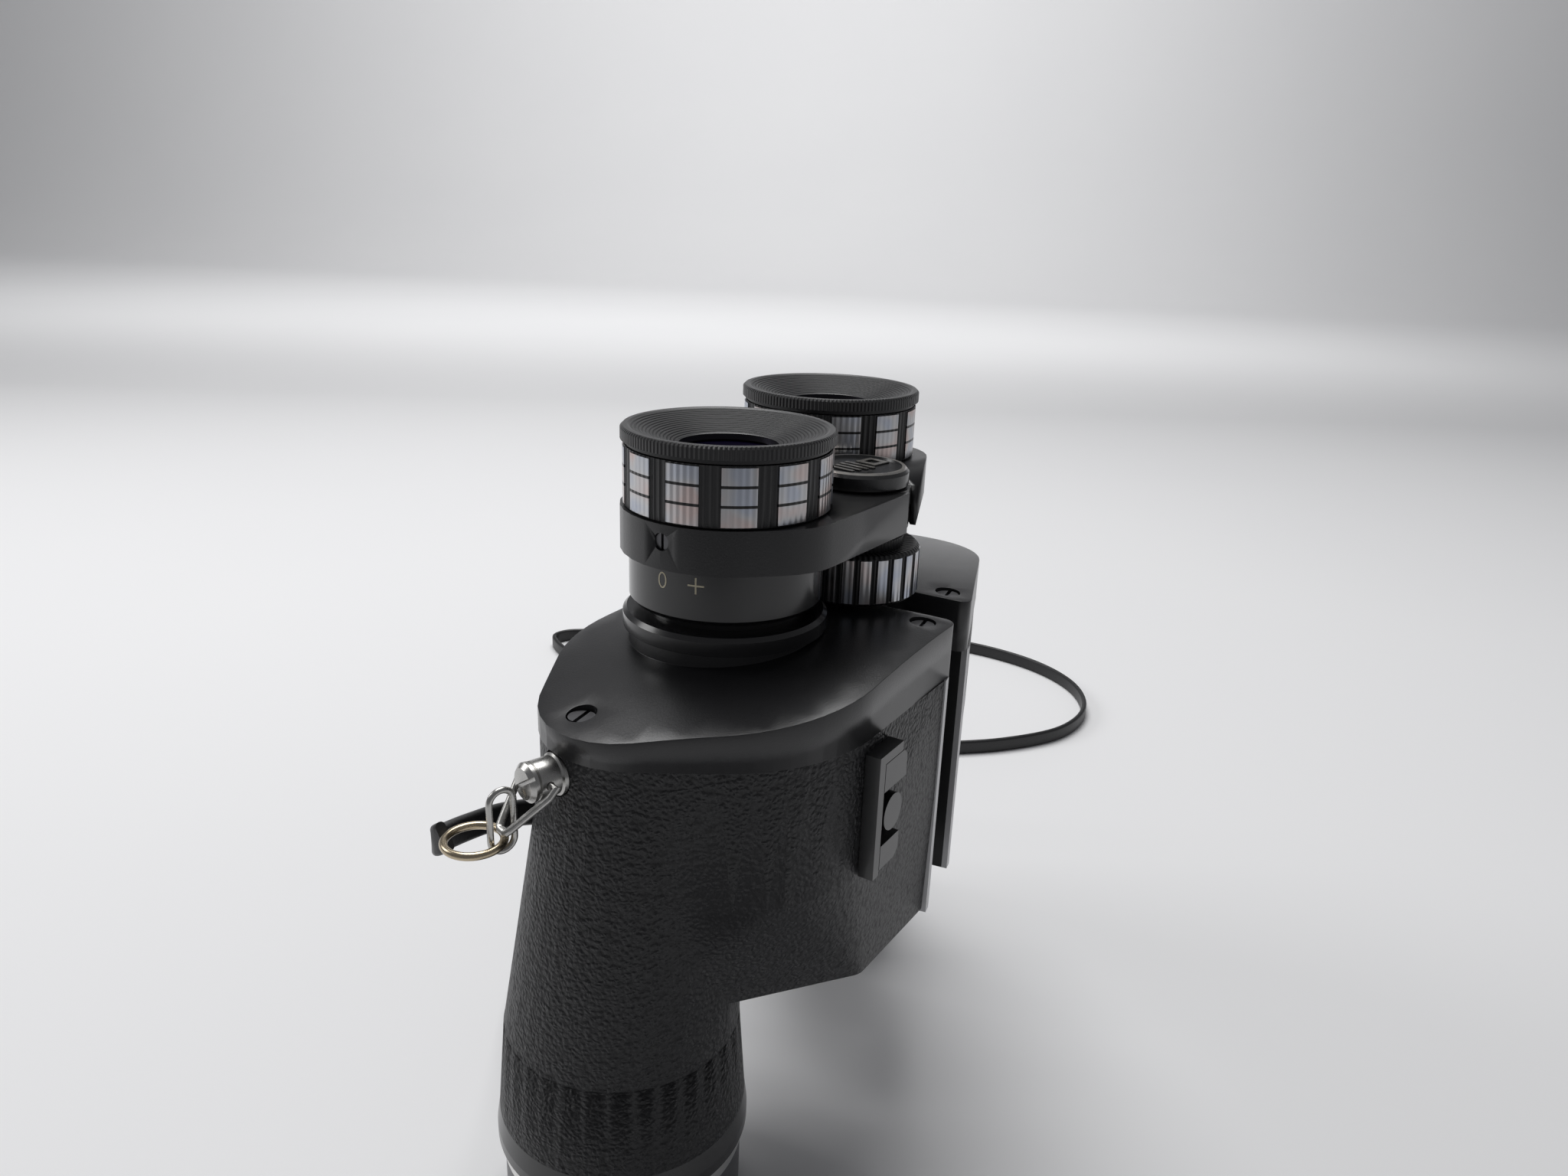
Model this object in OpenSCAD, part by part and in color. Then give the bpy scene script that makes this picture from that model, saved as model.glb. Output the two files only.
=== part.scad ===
// Zoom binoculars of the folding prism kind, standing on their objectives.
// Millimetres. +Z runs from the objectives to the eyepieces, +X towards the left barrel,
// and -Y is the side that faces up in use. Z = 0 is the surface that the front rings stand on.

/* [Barrels] */
// Distance between the two eyepiece axes as set here
eyepiece_gap = 59; // [57:1:62]
// How far the hinge axis lies in front of the eyepiece axes
hinge_drop = 17.5; // [16:0.5:19]
// How far each objective axis lies outwards of its eyepiece axis
objective_out = 28; // [26:1:30]
// How far each objective axis lies behind its eyepiece axis
objective_back = 8.7; // [7:0.1:10]
// Radius of the objective tube where the housing ends
tube_r = 23.5; // [22.5:0.5:24.5]
// Radius of the objective tube at its front edge
tube_front_r = 25; // [24.5:0.1:25.5]
// Bore radius of the objective tube
tube_bore_r = 20.8; // [20:0.1:21.5]
// Thickness of the housing wall
wall = 2.4; // [2:0.1:3]
// Thickness of the leatherette
skin_t = 0.6; // [0.4:0.1:0.8]
// Height of the front edge of the leatherette
tube_front_z = 27.6; // [26:0.1:30]
// Height of the underside of the prism housing
housing_z = 57; // [55:1:60]
// Height of the joint between housing and cover
joint_z = 112.4; // [111:0.1:114]
// Width of the badge on the right front wall
badge_w = 12.8; // [11:0.2:14]
// Height of the badge
badge_h = 26; // [25:1:28]
// How far the badge stands proud
badge_t = 3.2; // [2:0.1:3.5]
// Gap from the middle plane to each housing
housing_gap = 8.6; // [8:0.1:9.5]

/* [Covers] */
// Height of each prism cover over the joint
cover_h = 12.6; // [11:0.1:14]
// Radius of the slow curve by which the cover's top falls away from the hinge
dome_r = 320; // [280:10:500]
// How far the cover stands out past the bare housing
overhang = 0.8; // [0.6:0.1:1.2]
// Gap from the middle plane to each cover
cover_gap = 6.2; // [6:0.1:7]
// Thickness of the cover's top and skirt
cover_wall = 2.2; // [1.8:0.1:2.6]
// Head radius of the cover screws
screw_r = 2.5; // [2:0.1:3]
// Radius of the guide flange on each cover
flange_r = 20.7; // [20:0.1:21.5]
// Height of the guide flange
flange_h = 3.5; // [3:0.1:3.7]

/* [Hinge and focus] */
// Height of the lowest hinge knuckle's underside
knuckle_z = 61; // [60:0.5:62]
// Length of each of the right barrel's two knuckles
knuckle_h = 8; // [6:1:10]
// Length of the room between them for the left barrel's knuckle
middle_knuckle_h = 28; // [22:1:30]
// Outer radius of the hinge knuckles
knuckle_r = 7.8; // [7:0.1:8]
// Outer radius of the hinge axle
axle_r = 5.6; // [5:0.1:6]
// Radius of the focus shaft
shaft_r = 3.6; // [3.2:0.1:3.9]
// Running clearance of shafts, axles and rings
fit = 0.05; // [0.03:0.01:0.08]
// Radius of the focus wheel
wheel_r = 14.2; // [13.5:0.1:14.8]
// Height of the focus wheel
wheel_h = 11; // [10:0.1:11.5]
// Number of bright stripes on the focus wheel
stripes = 24; // [18:1:30]
// Radius of the centre cap
cap_r = 10.7; // [10:0.1:11.5]
// Thread radius of the tripod socket
socket_r = 3.175; // [3.1:0.005:3.2]
// Depth of the tripod socket
socket_h = 8; // [6:1:10]

/* [Eyepieces] */
// Gap between the focus wheel and the bridge arms
arm_gap = 1.9; // [1.7:0.1:3]
// Radius of the eyecup's opening
eye_hole_r = 9.8; // [9:0.1:11]
// Height of the knurled band of the eyecup
knurl_h = 2.5; // [2:0.1:3]
// How far the zoom ring stands out past the eyepiece tube
zoom_step = 0.9; // [0.6:0.1:1.1]
// How far the eyecup stands out past the zoom ring
eyecup_step = 0.7; // [0.5:0.1:1]
// Height of the zoom ring
zoom_h = 11.6; // [10:0.1:12.5]
// Number of bright pads on each zoom ring
pads = 12; // [8:1:16]
// Thickness of the bridge arms
arm_h = 8.7; // [8:0.1:9.5]
// Wall of the arm's collar round the eyepiece tube
collar_t = 1.75; // [1.6:0.05:2.2]
// Outer radius of the eyepiece tube
eye_tube_r = 19.4; // [19:0.1:19.5]
// Bore radius of the eyepiece tube
eye_bore_r = 14.2; // [13.5:0.1:14.5]
// Radius of the part of the eyepiece tube that slides in the cover
guide_r = 16; // [15.6:0.1:16.4]

/* [Front rings] */
// Outer radius of the black rim round the objective
rim_r = 26.2; // [25.8:0.1:26.6]
// Height of the silver trim ring
trim_h = 3; // [2:0.5:4]
// Outer radius of the front ring
front_r = 24.9; // [24:0.1:25.2]
// Height of the front ring
front_h = 17; // [15:0.5:18]
// Radius of the objective lens
lens_r = 18.6; // [17:0.1:19]
// Thickness of the objective lens at its middle
lens_h = 8; // [7:0.5:9]
// Radius of the lens's two curved faces
lens_bow = 60; // [55:1:90]

/* [Strap fittings] */
// Angle of each strap lug, out from the row of barrels
lug_turn = 27; // [24:1:34]
// Height of the strap lugs
lug_z = 108.2; // [105:0.1:108.2]
// Radius of the bail's wire
bail_wire = 0.7; // [0.6:0.05:0.8]
// Radius of the link's wire
link_wire = 0.6; // [0.5:0.05:0.7]
// Width of the flat strap
strap_w = 5.6; // [5:0.1:6]

/* [Hidden] */
$fn = 96;
// Facets of the corners of hulled outlines
HF = 32;
// A small overlap for cuts
e = 0.01;
// Reach of the housing in front of the eyepiece axes
front_reach = 42.6;
// How far the rail stands proud of the bare housing
rail_out = 0.9;
// Places of the axes, with the depth of the whole centred on Y = 0
eye_x = -eyepiece_gap / 2;
eye_y = (front_reach + rail_out - overhang - objective_back - rim_r) / 2;
hinge_y = eye_y - hinge_drop;
obj_x = eye_x - objective_out;
obj_y = eye_y + objective_back;
// Heights
axle_z = knuckle_z - 5;
shaft_z = knuckle_z + 19;
cover_top = joint_z + cover_h;
flange_top = cover_top + flange_h;
tube_z = flange_top + 2;
sleeve_t = 1.5;
guide_z = joint_z + 2;
wheel_z = cover_top + 1;
wheel_top = wheel_z + wheel_h;
boss_h = 2;
arm_split = 3.5;
arm_z = wheel_top + boss_h + arm_gap;
arm_top = arm_z + arm_h;
zoom_z = arm_top + 0.2;
eyecup_z = zoom_z + zoom_h + 1.1;
eyecup_top = eyecup_z + knurl_h;
collar_r = eye_tube_r + collar_t;
zoom_r = eye_tube_r + zoom_step;
eyecup_r = zoom_r + eyecup_step;
// A length past the end of any piece, for cuts
reach = 2 * eyecup_top;
neck_r = eye_tube_r - 1.6;
neck_top = zoom_z + zoom_h - 1.2;
rim_z = front_h + trim_h;
lens_z = front_h + 2;
shelf_z = 92;
shelf_h = 2.4;
shoulder_z = 84;
// Centres and radii of the rounded ends of the housing's outline
end_x = obj_x + 0.5;
end_y = eye_y + 4;
end_r = 19.3;
belly_x = eye_x - 8.7;
belly_y = eye_y - 4;
belly_r = 33.2;
corner_r = 1.2;
// Front corner of the housing's underside
toe_x = eye_x - 7.3;
toe_y = eye_y - front_reach + 10.1;
toe_r = 4;
// Middle of the curve of the cover's top
dome_x = eye_x + 19.5;
dome_y = hinge_y - 1.8;
// Strap lug: its root on the outline, its direction and the axis of its hole
lug_root_h = 1.6;
lug_neck_h = 3.4;
lug_head_h = 2.5;
lug_neck_r = 3.6;
lug_base_r = 4.1;
lug_hole = lug_root_h + lug_neck_h / 2 + 0.2;
bail_w = 5.2;
bail_len = 10.9;
bail_tilt = 45;
link_len = 11.8;
link_half_w = 2.3;
// How far the link's middle stands over the bail's point
link_up = 2;
ring_turn = 140;
ring_r = 5.2;
ring_wire = 0.75;
// Prisms
prism_leg = 20.6;
prism_w = 19;
prism_turn = -17.3;

BLACK = [0.07, 0.07, 0.075];
LEATHER = [0.1, 0.1, 0.105];
SILVER = [0.78, 0.78, 0.8];
STEEL = [0.62, 0.62, 0.64];
GLASS = [0.6, 0.68, 0.75, 0.5];

// Draws its children for the right side, or mirrored for the left side
module side(left) {
    if (left) mirror([1, 0, 0]) children();
    else children();
}

module at_eye(z = 0) {
    translate([eye_x, eye_y, z]) children();
}

module at_objective(z = 0) {
    translate([obj_x, obj_y, z]) children();
}

module at_hinge(z = 0) {
    translate([0, hinge_y, z]) children();
}

module dot(x, y, r) {
    translate([x, y]) circle(r = r, $fn = HF);
}

// A tube with its bore
module tube(r, bore, h) {
    difference() {
        cylinder(r = r, h = h);
        translate([0, 0, -e]) cylinder(r = bore, h = h + 2 * e);
    }
}

// Outline of the housing and cover, seen from above, with its inner edge at a gap from the middle
module outline(gap, grow = 0) {
    intersection() {
        outline_hull(gap, grow);
        translate([-gap - reach, -reach / 2]) square(reach);
    }
}

module outline_hull(gap, grow) {
    hull() {
        dot(end_x, end_y, end_r + grow);
        translate([belly_x, belly_y]) circle(r = belly_r + grow, $fn = 2 * HF);
        dot(-gap - 2 * corner_r - grow, eye_y - front_reach + 2 * corner_r, 2 * corner_r + grow);
        dot(-gap - 2 * corner_r - 3, end_y + end_r - 2 * corner_r - 0.5, 2 * corner_r + grow);
    }
}

// Outline of the housing's underside, drawn in towards the objective tube
module low_outline(grow = 0) {
    hull() {
        dot(obj_x, obj_y, tube_r - 6.5 + grow);
        dot(toe_x, toe_y, toe_r + grow);
        dot(-housing_gap - 2 * corner_r - grow, eye_y - front_reach + 2 * corner_r + 0.9, 2 * corner_r + grow);
        dot(-housing_gap - 2 * corner_r - grow, end_y + 10, 2 * corner_r + grow);
    }
}

module slab(z, h) {
    translate([0, 0, z]) linear_extrude(h) children();
}

// Outside of one barrel: the prism housing, its shoulder and the objective tube
module barrel_form(grow = 0) {
    slab(shoulder_z, joint_z - shoulder_z) outline(housing_gap, grow - overhang);
    hull() {
        slab(shoulder_z, 1) outline(housing_gap, grow - overhang - 0.02);
        slab(housing_z - grow, 1) low_outline(grow - skin_t);
    }
    hull() {
        slab(joint_z - 8, 1) dot(end_x, end_y, end_r + grow - overhang - 0.02);
        slab(housing_z - 11, 1) dot(obj_x, obj_y, tube_r + grow);
    }
    at_objective(tube_front_z) cylinder(r1 = tube_front_r + grow, r2 = tube_r + grow, h = housing_z - 10 - tube_front_z);
}

// Room inside one barrel for the shelf and prisms
module chamber() {
    intersection() {
        hull() {
            dot(end_x, end_y, end_r - overhang - wall);
            translate([belly_x, belly_y]) circle(r = belly_r - overhang - wall, $fn = 2 * HF);
            dot(-housing_gap - wall - 2.5, eye_y - front_reach + 8, 2);
            dot(-housing_gap - wall - 2.5, end_y + 12, 2);
        }
        translate([-housing_gap - wall - 0.5 - reach, -reach / 2]) square(reach);
    }
}

// Room inside the narrower lower part of the housing
module low_chamber() {
    hull() {
        dot(obj_x, obj_y, tube_r - 6.5 - wall);
        dot(toe_x + 1, toe_y + 1, toe_r - wall);
        dot(-housing_gap - wall - 2.5, eye_y - front_reach + 9, 2);
        dot(-housing_gap - wall - 2.5, eye_y + 8, 2);
    }
}

// Rail of bare metal along the housing's inner front corner
module rail() {
    translate([-housing_gap - 2.4, eye_y - front_reach + overhang - rail_out, housing_z - 1.4])
        cube([2.4, 4 + rail_out, joint_z - housing_z + 1.4]);
}

module knuckles(left) {
    low = knuckle_z + knuckle_h;
    high = low + middle_knuckle_h;
    levels = left ? [[low + 0.3, high - 0.3]] : [[knuckle_z, low], [high, high + knuckle_h]];
    for (z = levels) {
        at_hinge(z[0]) cylinder(r = knuckle_r, h = z[1] - z[0]);
        translate([-housing_gap - 1, hinge_y - 5, z[0]]) cube([housing_gap - 1, 10, z[1] - z[0]]);
    }
}

module body(left) {
    color(BLACK) side(left) difference() {
        union() {
            barrel_form();
            rail();
            knuckles(left);
        }
        difference() {
            union() {
                slab(shoulder_z, joint_z) chamber();
                slab(housing_z + wall + 1, shoulder_z - housing_z) low_chamber();
            }
            screw_bosses(3.4, 8);
        }
        at_objective(tube_front_z - e) cylinder(r = tube_bore_r, h = housing_z - 5 - tube_front_z + 2 * e);
        at_objective(housing_z - 5) cylinder(r1 = tube_bore_r, r2 = tube_bore_r - 6, h = 10);
        at_hinge(axle_z) cylinder(r = axle_r + (left ? fit : 0), h = cover_top - axle_z);
        screw_bosses(1.1, 5);
        lug_frame() cylinder(r = 1.5, h = 12, center = true);
    }
}

// Leatherette round the housing and tube
module covering(left) {
    color(LEATHER) side(left) difference() {
        barrel_form(skin_t);
        barrel_form();
        translate([-housing_gap - 2.6, -reach / 2, -reach / 2]) cube(reach);
        translate([-reach / 2, -reach / 2, joint_z]) cube(reach);
        lug_frame() cylinder(r = lug_base_r + 0.2, h = 12, center = true);
    }
}

// Height of the cover's top at a distance from the middle of its curve
function dome(r) = cover_top - r * r / (2 * dome_r);

// The cover's outside: an upright skirt under a top that falls away slowly towards the outer end
module cover_form(inset) {
    far = 90;
    intersection() {
        slab(joint_z, cover_h) outline(cover_gap + inset, -inset);
        translate([dome_x, dome_y, 0]) rotate_extrude($fn = 144) polygon(concat([[0, joint_z - 1]],
            [for (r = [0:6:far]) [r, dome(r) - inset]], [[far, joint_z - 1]]));
    }
}

// Round bosses, or the holes in them, at the joint under the cover screws
module screw_bosses(r, h) {
    for (p = cover_screws_at()) translate([p[0], p[1], joint_z - h]) cylinder(r = r, h = h + e);
}

// Where the two cover screws stand
function cover_screws_at() = [[end_x - 11.6, end_y + 6.2], [-cover_gap - 4.6, eye_y - front_reach + 6]];

module prism_cover(left) {
    color(BLACK) side(left) difference() {
        union() {
            cover_form(0);
            at_eye(cover_top - 5) cylinder(r = flange_r - 1.1, h = 5);
        }
        translate([0, 0, -e]) difference() {
            intersection() {
                cover_form(cover_wall);
                slab(joint_z - 1, cover_h) chamber();
            }
            for (p = cover_screws_at()) translate([p[0], p[1], joint_z]) cylinder(r = screw_r + 1.3, h = cover_h);
        }
        at_eye(joint_z - 1) cylinder(r = guide_r + sleeve_t + 0.1, h = cover_h + 2);
        at_hinge(joint_z - 1) cylinder(r = knuckle_r + 1.2, h = cover_h + 2);
        for (p = cover_screws_at()) {
            translate([p[0], p[1], screw_seat(p)]) cylinder(r = screw_r + 0.3, h = 10);
            translate([p[0], p[1], joint_z - 1]) cylinder(r = 1.1, h = cover_h);
        }
    }
}

// Height of a screw's seat under the curve of the cover's top
function screw_seat(p) = dome(norm([p[0] - dome_x, p[1] - dome_y])) - 2.1;

module cover_screws(left) {
    color(STEEL) side(left) for (p = cover_screws_at()) translate([p[0], p[1], screw_seat(p)]) difference() {
        union() {
            cylinder(r = screw_r, h = 1.5);
            translate([0, 0, joint_z - 5 - screw_seat(p)]) cylinder(r = 1.1, h = screw_seat(p) - joint_z + 5);
        }
        translate([-screw_r, -0.4, 0.7]) cube([2 * screw_r, 0.8, 1]);
    }
}

// Flange on the cover with a sleeve that guides the sliding eyepiece tube
module guide_flange(left) {
    color(BLACK) side(left) difference() {
        at_eye() rotate_extrude() polygon([[guide_r + fit, joint_z + 3], [guide_r + sleeve_t, joint_z + 3],
            [guide_r + sleeve_t, cover_top], [flange_r, cover_top], [flange_r, flange_top - 0.8],
            [flange_r - 0.8, flange_top], [guide_r + fit, flange_top]]);
        at_hinge(cover_top - 1) cylinder(r = wheel_r + 0.6, h = flange_h + 2);
    }
}

// Middle point where the light passes from one prism to the other
function turn_mid() = [obj_x + prism_leg * cos(prism_turn - 45), obj_y + prism_leg * sin(prism_turn - 45)];

module prism_shelf(left) {
    m = turn_mid();
    color([0.35, 0.35, 0.36]) side(left) difference() {
        slab(shelf_z, shelf_h) offset(delta = -0.1) chamber();
        translate([obj_x, obj_y, shelf_z - 1]) cylinder(r = 8.5, h = 5);
        translate([eye_x, eye_y, shelf_z - 1]) cylinder(r = 8.5, h = 5);
        translate([m[0], m[1], shelf_z - 1]) cylinder(r = 8.5, h = 5);
    }
}

// One right-angled prism lying on its long face, which is centred on the origin
module prism() {
    rotate([90, 0, 0]) translate([0, 0, -prism_w / 2]) linear_extrude(prism_w)
        polygon([[-prism_leg, 0], [prism_leg, 0], [prism_leg - 2, 2.5], [2, prism_leg - 1.5], [-2, prism_leg - 1.5],
            [2 - prism_leg, 2.5]]);
}

module prisms(left) {
    m = turn_mid();
    color(GLASS) side(left) {
        translate([(obj_x + m[0]) / 2, (obj_y + m[1]) / 2, shelf_z + shelf_h]) rotate(prism_turn - 45) scale(0.9) prism();
        translate([(eye_x + m[0]) / 2, (eye_y + m[1]) / 2, shelf_z]) rotate(prism_turn + 45) mirror([0, 0, 1])
            scale(0.9) prism();
    }
}

module objective_cell(left) {
    step_z = front_h + 1.4;
    color(BLACK) side(left) at_objective() rotate_extrude() polygon([[lens_r, front_h - 5], [lens_r + 1, front_h - 5],
        [lens_r + 1, step_z], [tube_bore_r - 0.1, step_z], [tube_bore_r - 0.1, lens_z + 17], [lens_r, lens_z + 17]]);
}

module objective_lens(left) {
    color(GLASS) side(left) at_objective(lens_z) intersection() {
        cylinder(r = lens_r, h = lens_h + 1);
        translate([0, 0, lens_bow]) sphere(r = lens_bow, $fn = 128);
        translate([0, 0, lens_h - lens_bow]) sphere(r = lens_bow, $fn = 128);
    }
}

// Black rim that holds the edge of the leatherette
module rim(left) {
    color(BLACK) side(left) at_objective(rim_z) rotate_extrude() polygon([[tube_bore_r + 0.2, 0], [rim_r - 0.9, 0],
        [rim_r, 1], [rim_r, 3.4], [tube_front_r + skin_t, tube_front_z - rim_z], [tube_bore_r + 0.2, tube_front_z - rim_z]]);
}

module trim_ring(left) {
    color(SILVER) side(left) at_objective(front_h) tube(front_r + 0.35, tube_bore_r + 0.2, trim_h);
}

module front_ring(left) {
    color([0.16, 0.16, 0.17]) side(left) at_objective() rotate_extrude() polygon([[front_r - 2.9, 0], [front_r - 0.5, 0],
        [front_r, 0.5], [front_r, front_h], [tube_bore_r - 0.1, front_h], [lens_r + 1.1, front_h - 1.5], [lens_r + 1.1, front_h - 4.5],
        [lens_r + 2, front_h - 8]]);
}

// Frame of a strap lug: +Z points out of the housing, +Y up the barrel
module lug_frame() {
    translate([end_x, end_y, lug_z]) rotate(180 - lug_turn) translate([end_r - overhang, 0, 0]) rotate([90, 0, 90]) children();
}

module strap_lug(left) {
    head_z = lug_root_h + lug_neck_h;
    color(STEEL) side(left) lug_frame() difference() {
        union() {
            translate([0, 0, -3]) cylinder(r = 1.4, h = 4);
            rotate_extrude() polygon([[0, 0.1], [lug_base_r, 0.1], [lug_base_r - 0.1, 0.8], [lug_neck_r, 1.1],
                [lug_neck_r, head_z], [lug_neck_r - 0.3, head_z + 0.2], [lug_neck_r + 0.1, head_z + 0.5],
                [lug_neck_r + 0.1, head_z + 1.2], [lug_neck_r - 0.7, head_z + 2], [0, head_z + lug_head_h]]);
        }
        translate([0, 0, lug_hole]) rotate([0, 90, 0]) cylinder(r = bail_wire + 0.1, h = 20, center = true);
        translate([0, 0, head_z + 2.1]) rotate(35) cube([10, 0.8, 1.8], center = true);
    }
}

// One closed loop of wire through points of the XY plane, with mitred corners
module wire_loop(points, r, sides = 16) {
    n = len(points);
    normals = [for (i = [0:n - 1]) let (d = points[(i + 1) % n] - points[i]) [d[1], -d[0]] / norm(d)];
    rings = [for (i = [0:n - 1]) let (a = normals[(i + n - 1) % n], b = normals[i], m = r * (a + b) / (1 + a * b))
        for (k = [0:sides - 1]) let (t = k * 360 / sides)
            [points[i][0] + cos(t) * m[0], points[i][1] + cos(t) * m[1], r * sin(t)]];
    skin = [for (i = [0:n - 1]) for (k = [0:sides - 1])
        let (a = i * sides + k, b = i * sides + (k + 1) % sides, c = (a + sides) % (n * sides), d = (b + sides) % (n * sides))
            each [[a, b, c], [b, d, c]]];
    polyhedron(rings, skin);
}

// Frame of the bail: origin on the middle of the lug's hole, +X along the hole, -Y towards the point
module bail_frame() {
    lug_frame() translate([0, 0, lug_hole]) rotate([bail_tilt - 90, 0, 0]) children();
}

module bail(left) {
    tip = 1.3;
    half = [[bail_w, 0], [bail_w, -1.8], [bail_w - 0.25, -2.5], [tip + 0.4, -bail_len + 0.9], [tip, -bail_len + 0.25],
        [tip - 0.5, -bail_len]];
    other = [for (i = [len(half) - 1:-1:0]) [-half[i][0], half[i][1]]];
    color(SILVER) side(left) bail_frame() wire_loop(concat(half, other), bail_wire);
}

// Frame of the link: origin on the middle of the bail's point, +X along the hole's axis, +Y up
module link_frame() {
    lug_frame() translate([0, -bail_len * sin(bail_tilt), lug_hole + bail_len * cos(bail_tilt)]) children();
}

// Long link round the bail's point, standing square to it and pushed up by the strap
module link(left) {
    straight = link_len - 2 * link_half_w;
    color(SILVER) side(left) link_frame() rotate([0, 90, 0]) translate([0, link_up, 0]) {
        for (s = [-1, 1])
            translate([s * link_half_w, 0, 0]) rotate([90, 0, 0]) cylinder(r = link_wire, h = straight, center = true, $fn = 24);
        for (s = [-1, 1])
            translate([0, s * straight / 2, 0]) rotate(s > 0 ? 0 : 180)
                rotate_extrude(angle = 180, $fn = 48) translate([link_half_w, 0]) circle(r = link_wire, $fn = 24);
    }
}

// Frame of the flat strap ring in the foot of the link, with the ring's middle turned out of the link's plane
module ring_frame() {
    link_frame() translate([0, link_up - link_len / 2 + link_wire + ring_wire + 0.4, -0.2])
        rotate([90, ring_turn, 0]) children();
}

module strap_ring(left) {
    color([0.72, 0.66, 0.55]) side(left) ring_frame() translate([0, -ring_r, 0])
        rotate_extrude($fn = 64) translate([ring_r, 0]) circle(r = ring_wire, $fn = 24);
}

// Turn of the flat front wall, which joins two round corners of the outline
function front_turn() = let (run = [-housing_gap - 2 * corner_r - skin_t + overhang - belly_x,
    eye_y - front_reach + 2 * corner_r - belly_y])
    atan2(run[1], run[0]) + asin((belly_r - 2 * corner_r) / norm(run));

// Generic raised badge on the right front wall: an upright bar and a head bar with three plain shapes
module badge() {
    color(BLACK) translate([belly_x, belly_y, shoulder_z - 0.3]) rotate(front_turn())
        translate([-1.5, overhang - belly_r - skin_t - 0.03, 0]) rotate([90, 0, 0]) {
            linear_extrude(badge_t) {
                square([2.3, badge_h]);
                translate([0, badge_h - 2]) square([badge_w * 0.75, 2]);
            }
            linear_extrude(badge_t - 0.5) {
                translate([3.6, badge_h - 8.8]) polygon([[0, 0], [badge_w - 3.6, 0], [badge_w - 3.6, 4.6], [badge_w - 5, 6],
                    [0, 6]]);
                translate([8, badge_h / 2 - 1.7]) circle(r = 3.8);
                translate([3.6, 0.3]) polygon([[0, 0], [badge_w - 6.4, 0], [badge_w - 5, 1.4], [badge_w - 5, 5.2], [0, 5.2]]);
            }
            linear_extrude(0.9) square([5.4, badge_h]);
        }
}

// Hinge axle, hollow for the focus shaft, with the tripod socket in its lower end and a head under the wheel
module hinge_axle() {
    color(STEEL) at_hinge() difference() {
        union() {
            translate([0, 0, axle_z]) cylinder(r = axle_r, h = cover_top - axle_z);
            translate([0, 0, axle_z]) cylinder(r = knuckle_r - 0.3, h = knuckle_z - axle_z);
            translate([0, 0, cover_top - 0.2]) cylinder(r = knuckle_r + 0.6, h = 1);
        }
        translate([0, 0, axle_z + socket_h + 4]) cylinder(r = shaft_r + fit, h = reach);
        translate([0, 0, axle_z - e]) cylinder(r = socket_r, h = socket_h);
    }
}

module focus_wheel() {
    color(BLACK) at_hinge() difference() {
        union() {
            rotate_extrude() polygon([[0, wheel_z], [wheel_r - 0.8, wheel_z], [wheel_r - 0.2, wheel_z + 0.6],
                [wheel_r - 0.2, wheel_top - 0.6], [wheel_r - 0.8, wheel_top], [0, wheel_top]]);
            translate([0, 0, wheel_top - e]) cylinder(r = 10.4, h = boss_h);
        }
        translate([0, 0, wheel_z - 1]) cylinder(r = shaft_r + fit, h = wheel_h + boss_h + 2);
    }
}

// Bright stripes set in the rim of the focus wheel
module wheel_stripes() {
    width = 0.6 * 360 / stripes;
    color(SILVER) at_hinge(wheel_z + 0.8) for (i = [0:stripes - 1]) rotate(i * 360 / stripes - 6.4)
        rotate_extrude(angle = width) translate([wheel_r - 0.2, 0]) square([0.25, wheel_h - 1.6]);
}

// Shaft that carries the bridge; its middle is threaded in the wheel on the real thing
module focus_shaft() {
    color(STEEL) at_hinge(shaft_z) cylinder(r = shaft_r, h = arm_top - shaft_z);
}

// Plain raised bars and a square frame on the cap
module cap_relief() {
    for (i = [0:3]) translate([-6.4 + 2 * i, -3 - 0.3 * i]) square([0.9, 6 + 0.6 * i]);
    difference() {
        translate([1.9, -2.6]) square(5.2);
        translate([3.1, -1.4]) square(2.8);
    }
}

module centre_cap() {
    color(BLACK) at_hinge(arm_top) {
        rotate_extrude() polygon([[0, 0], [cap_r - 0.4, 0], [cap_r, 0.5], [cap_r, 3.1], [cap_r - 0.9, 4.1],
            [cap_r - 1.7, 4.1], [cap_r - 1.9, 3.6], [0, 3.6]]);
        translate([0, 0, 3.5]) linear_extrude(0.5) rotate(-20) cap_relief();
    }
}

// Bridge arm: a collar for the eyepiece and half of the hub on the focus shaft
module bridge_arm(left) {
    hub_r = 12.8;
    half = arm_h / 2;
    color(BLACK) side(left) difference() {
        union() {
            intersection() {
                slab(arm_z, arm_h) hull() {
                    dot(eye_x, eye_y, collar_r);
                    dot(eye_x - 1, eye_y - 9, 15);
                    dot(0, hinge_y, hub_r);
                }
                translate([-arm_split - reach, -reach / 2, arm_z - 1]) cube([reach, reach, arm_h + 2]);
            }
            at_hinge(left ? arm_z + half + 0.1 : arm_z) cylinder(r = hub_r - 1.5, h = half - 0.1);
        }
        at_eye(arm_z - 1) cylinder(r = eye_tube_r + fit, h = arm_h + 2);
        at_hinge(left ? arm_z - 1 : arm_z + half) cylinder(r = hub_r - 1.2, h = half + 1 + (left ? 0.1 : 0));
        at_hinge(arm_z - 1) cylinder(r = shaft_r + (left ? fit : 0), h = arm_h + 2);
        arm_screw_frame() translate([0, 0, -4]) cylinder(r = 1.7, h = 10);
    }
}

// Frame of the set screw in the arm's collar: origin on the collar's face, +Z outwards
module arm_screw_frame() {
    at_eye(arm_z + arm_h / 2 + 1) rotate(169) translate([collar_r, 0, 0]) rotate([0, 90, 0]) children();
}

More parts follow.
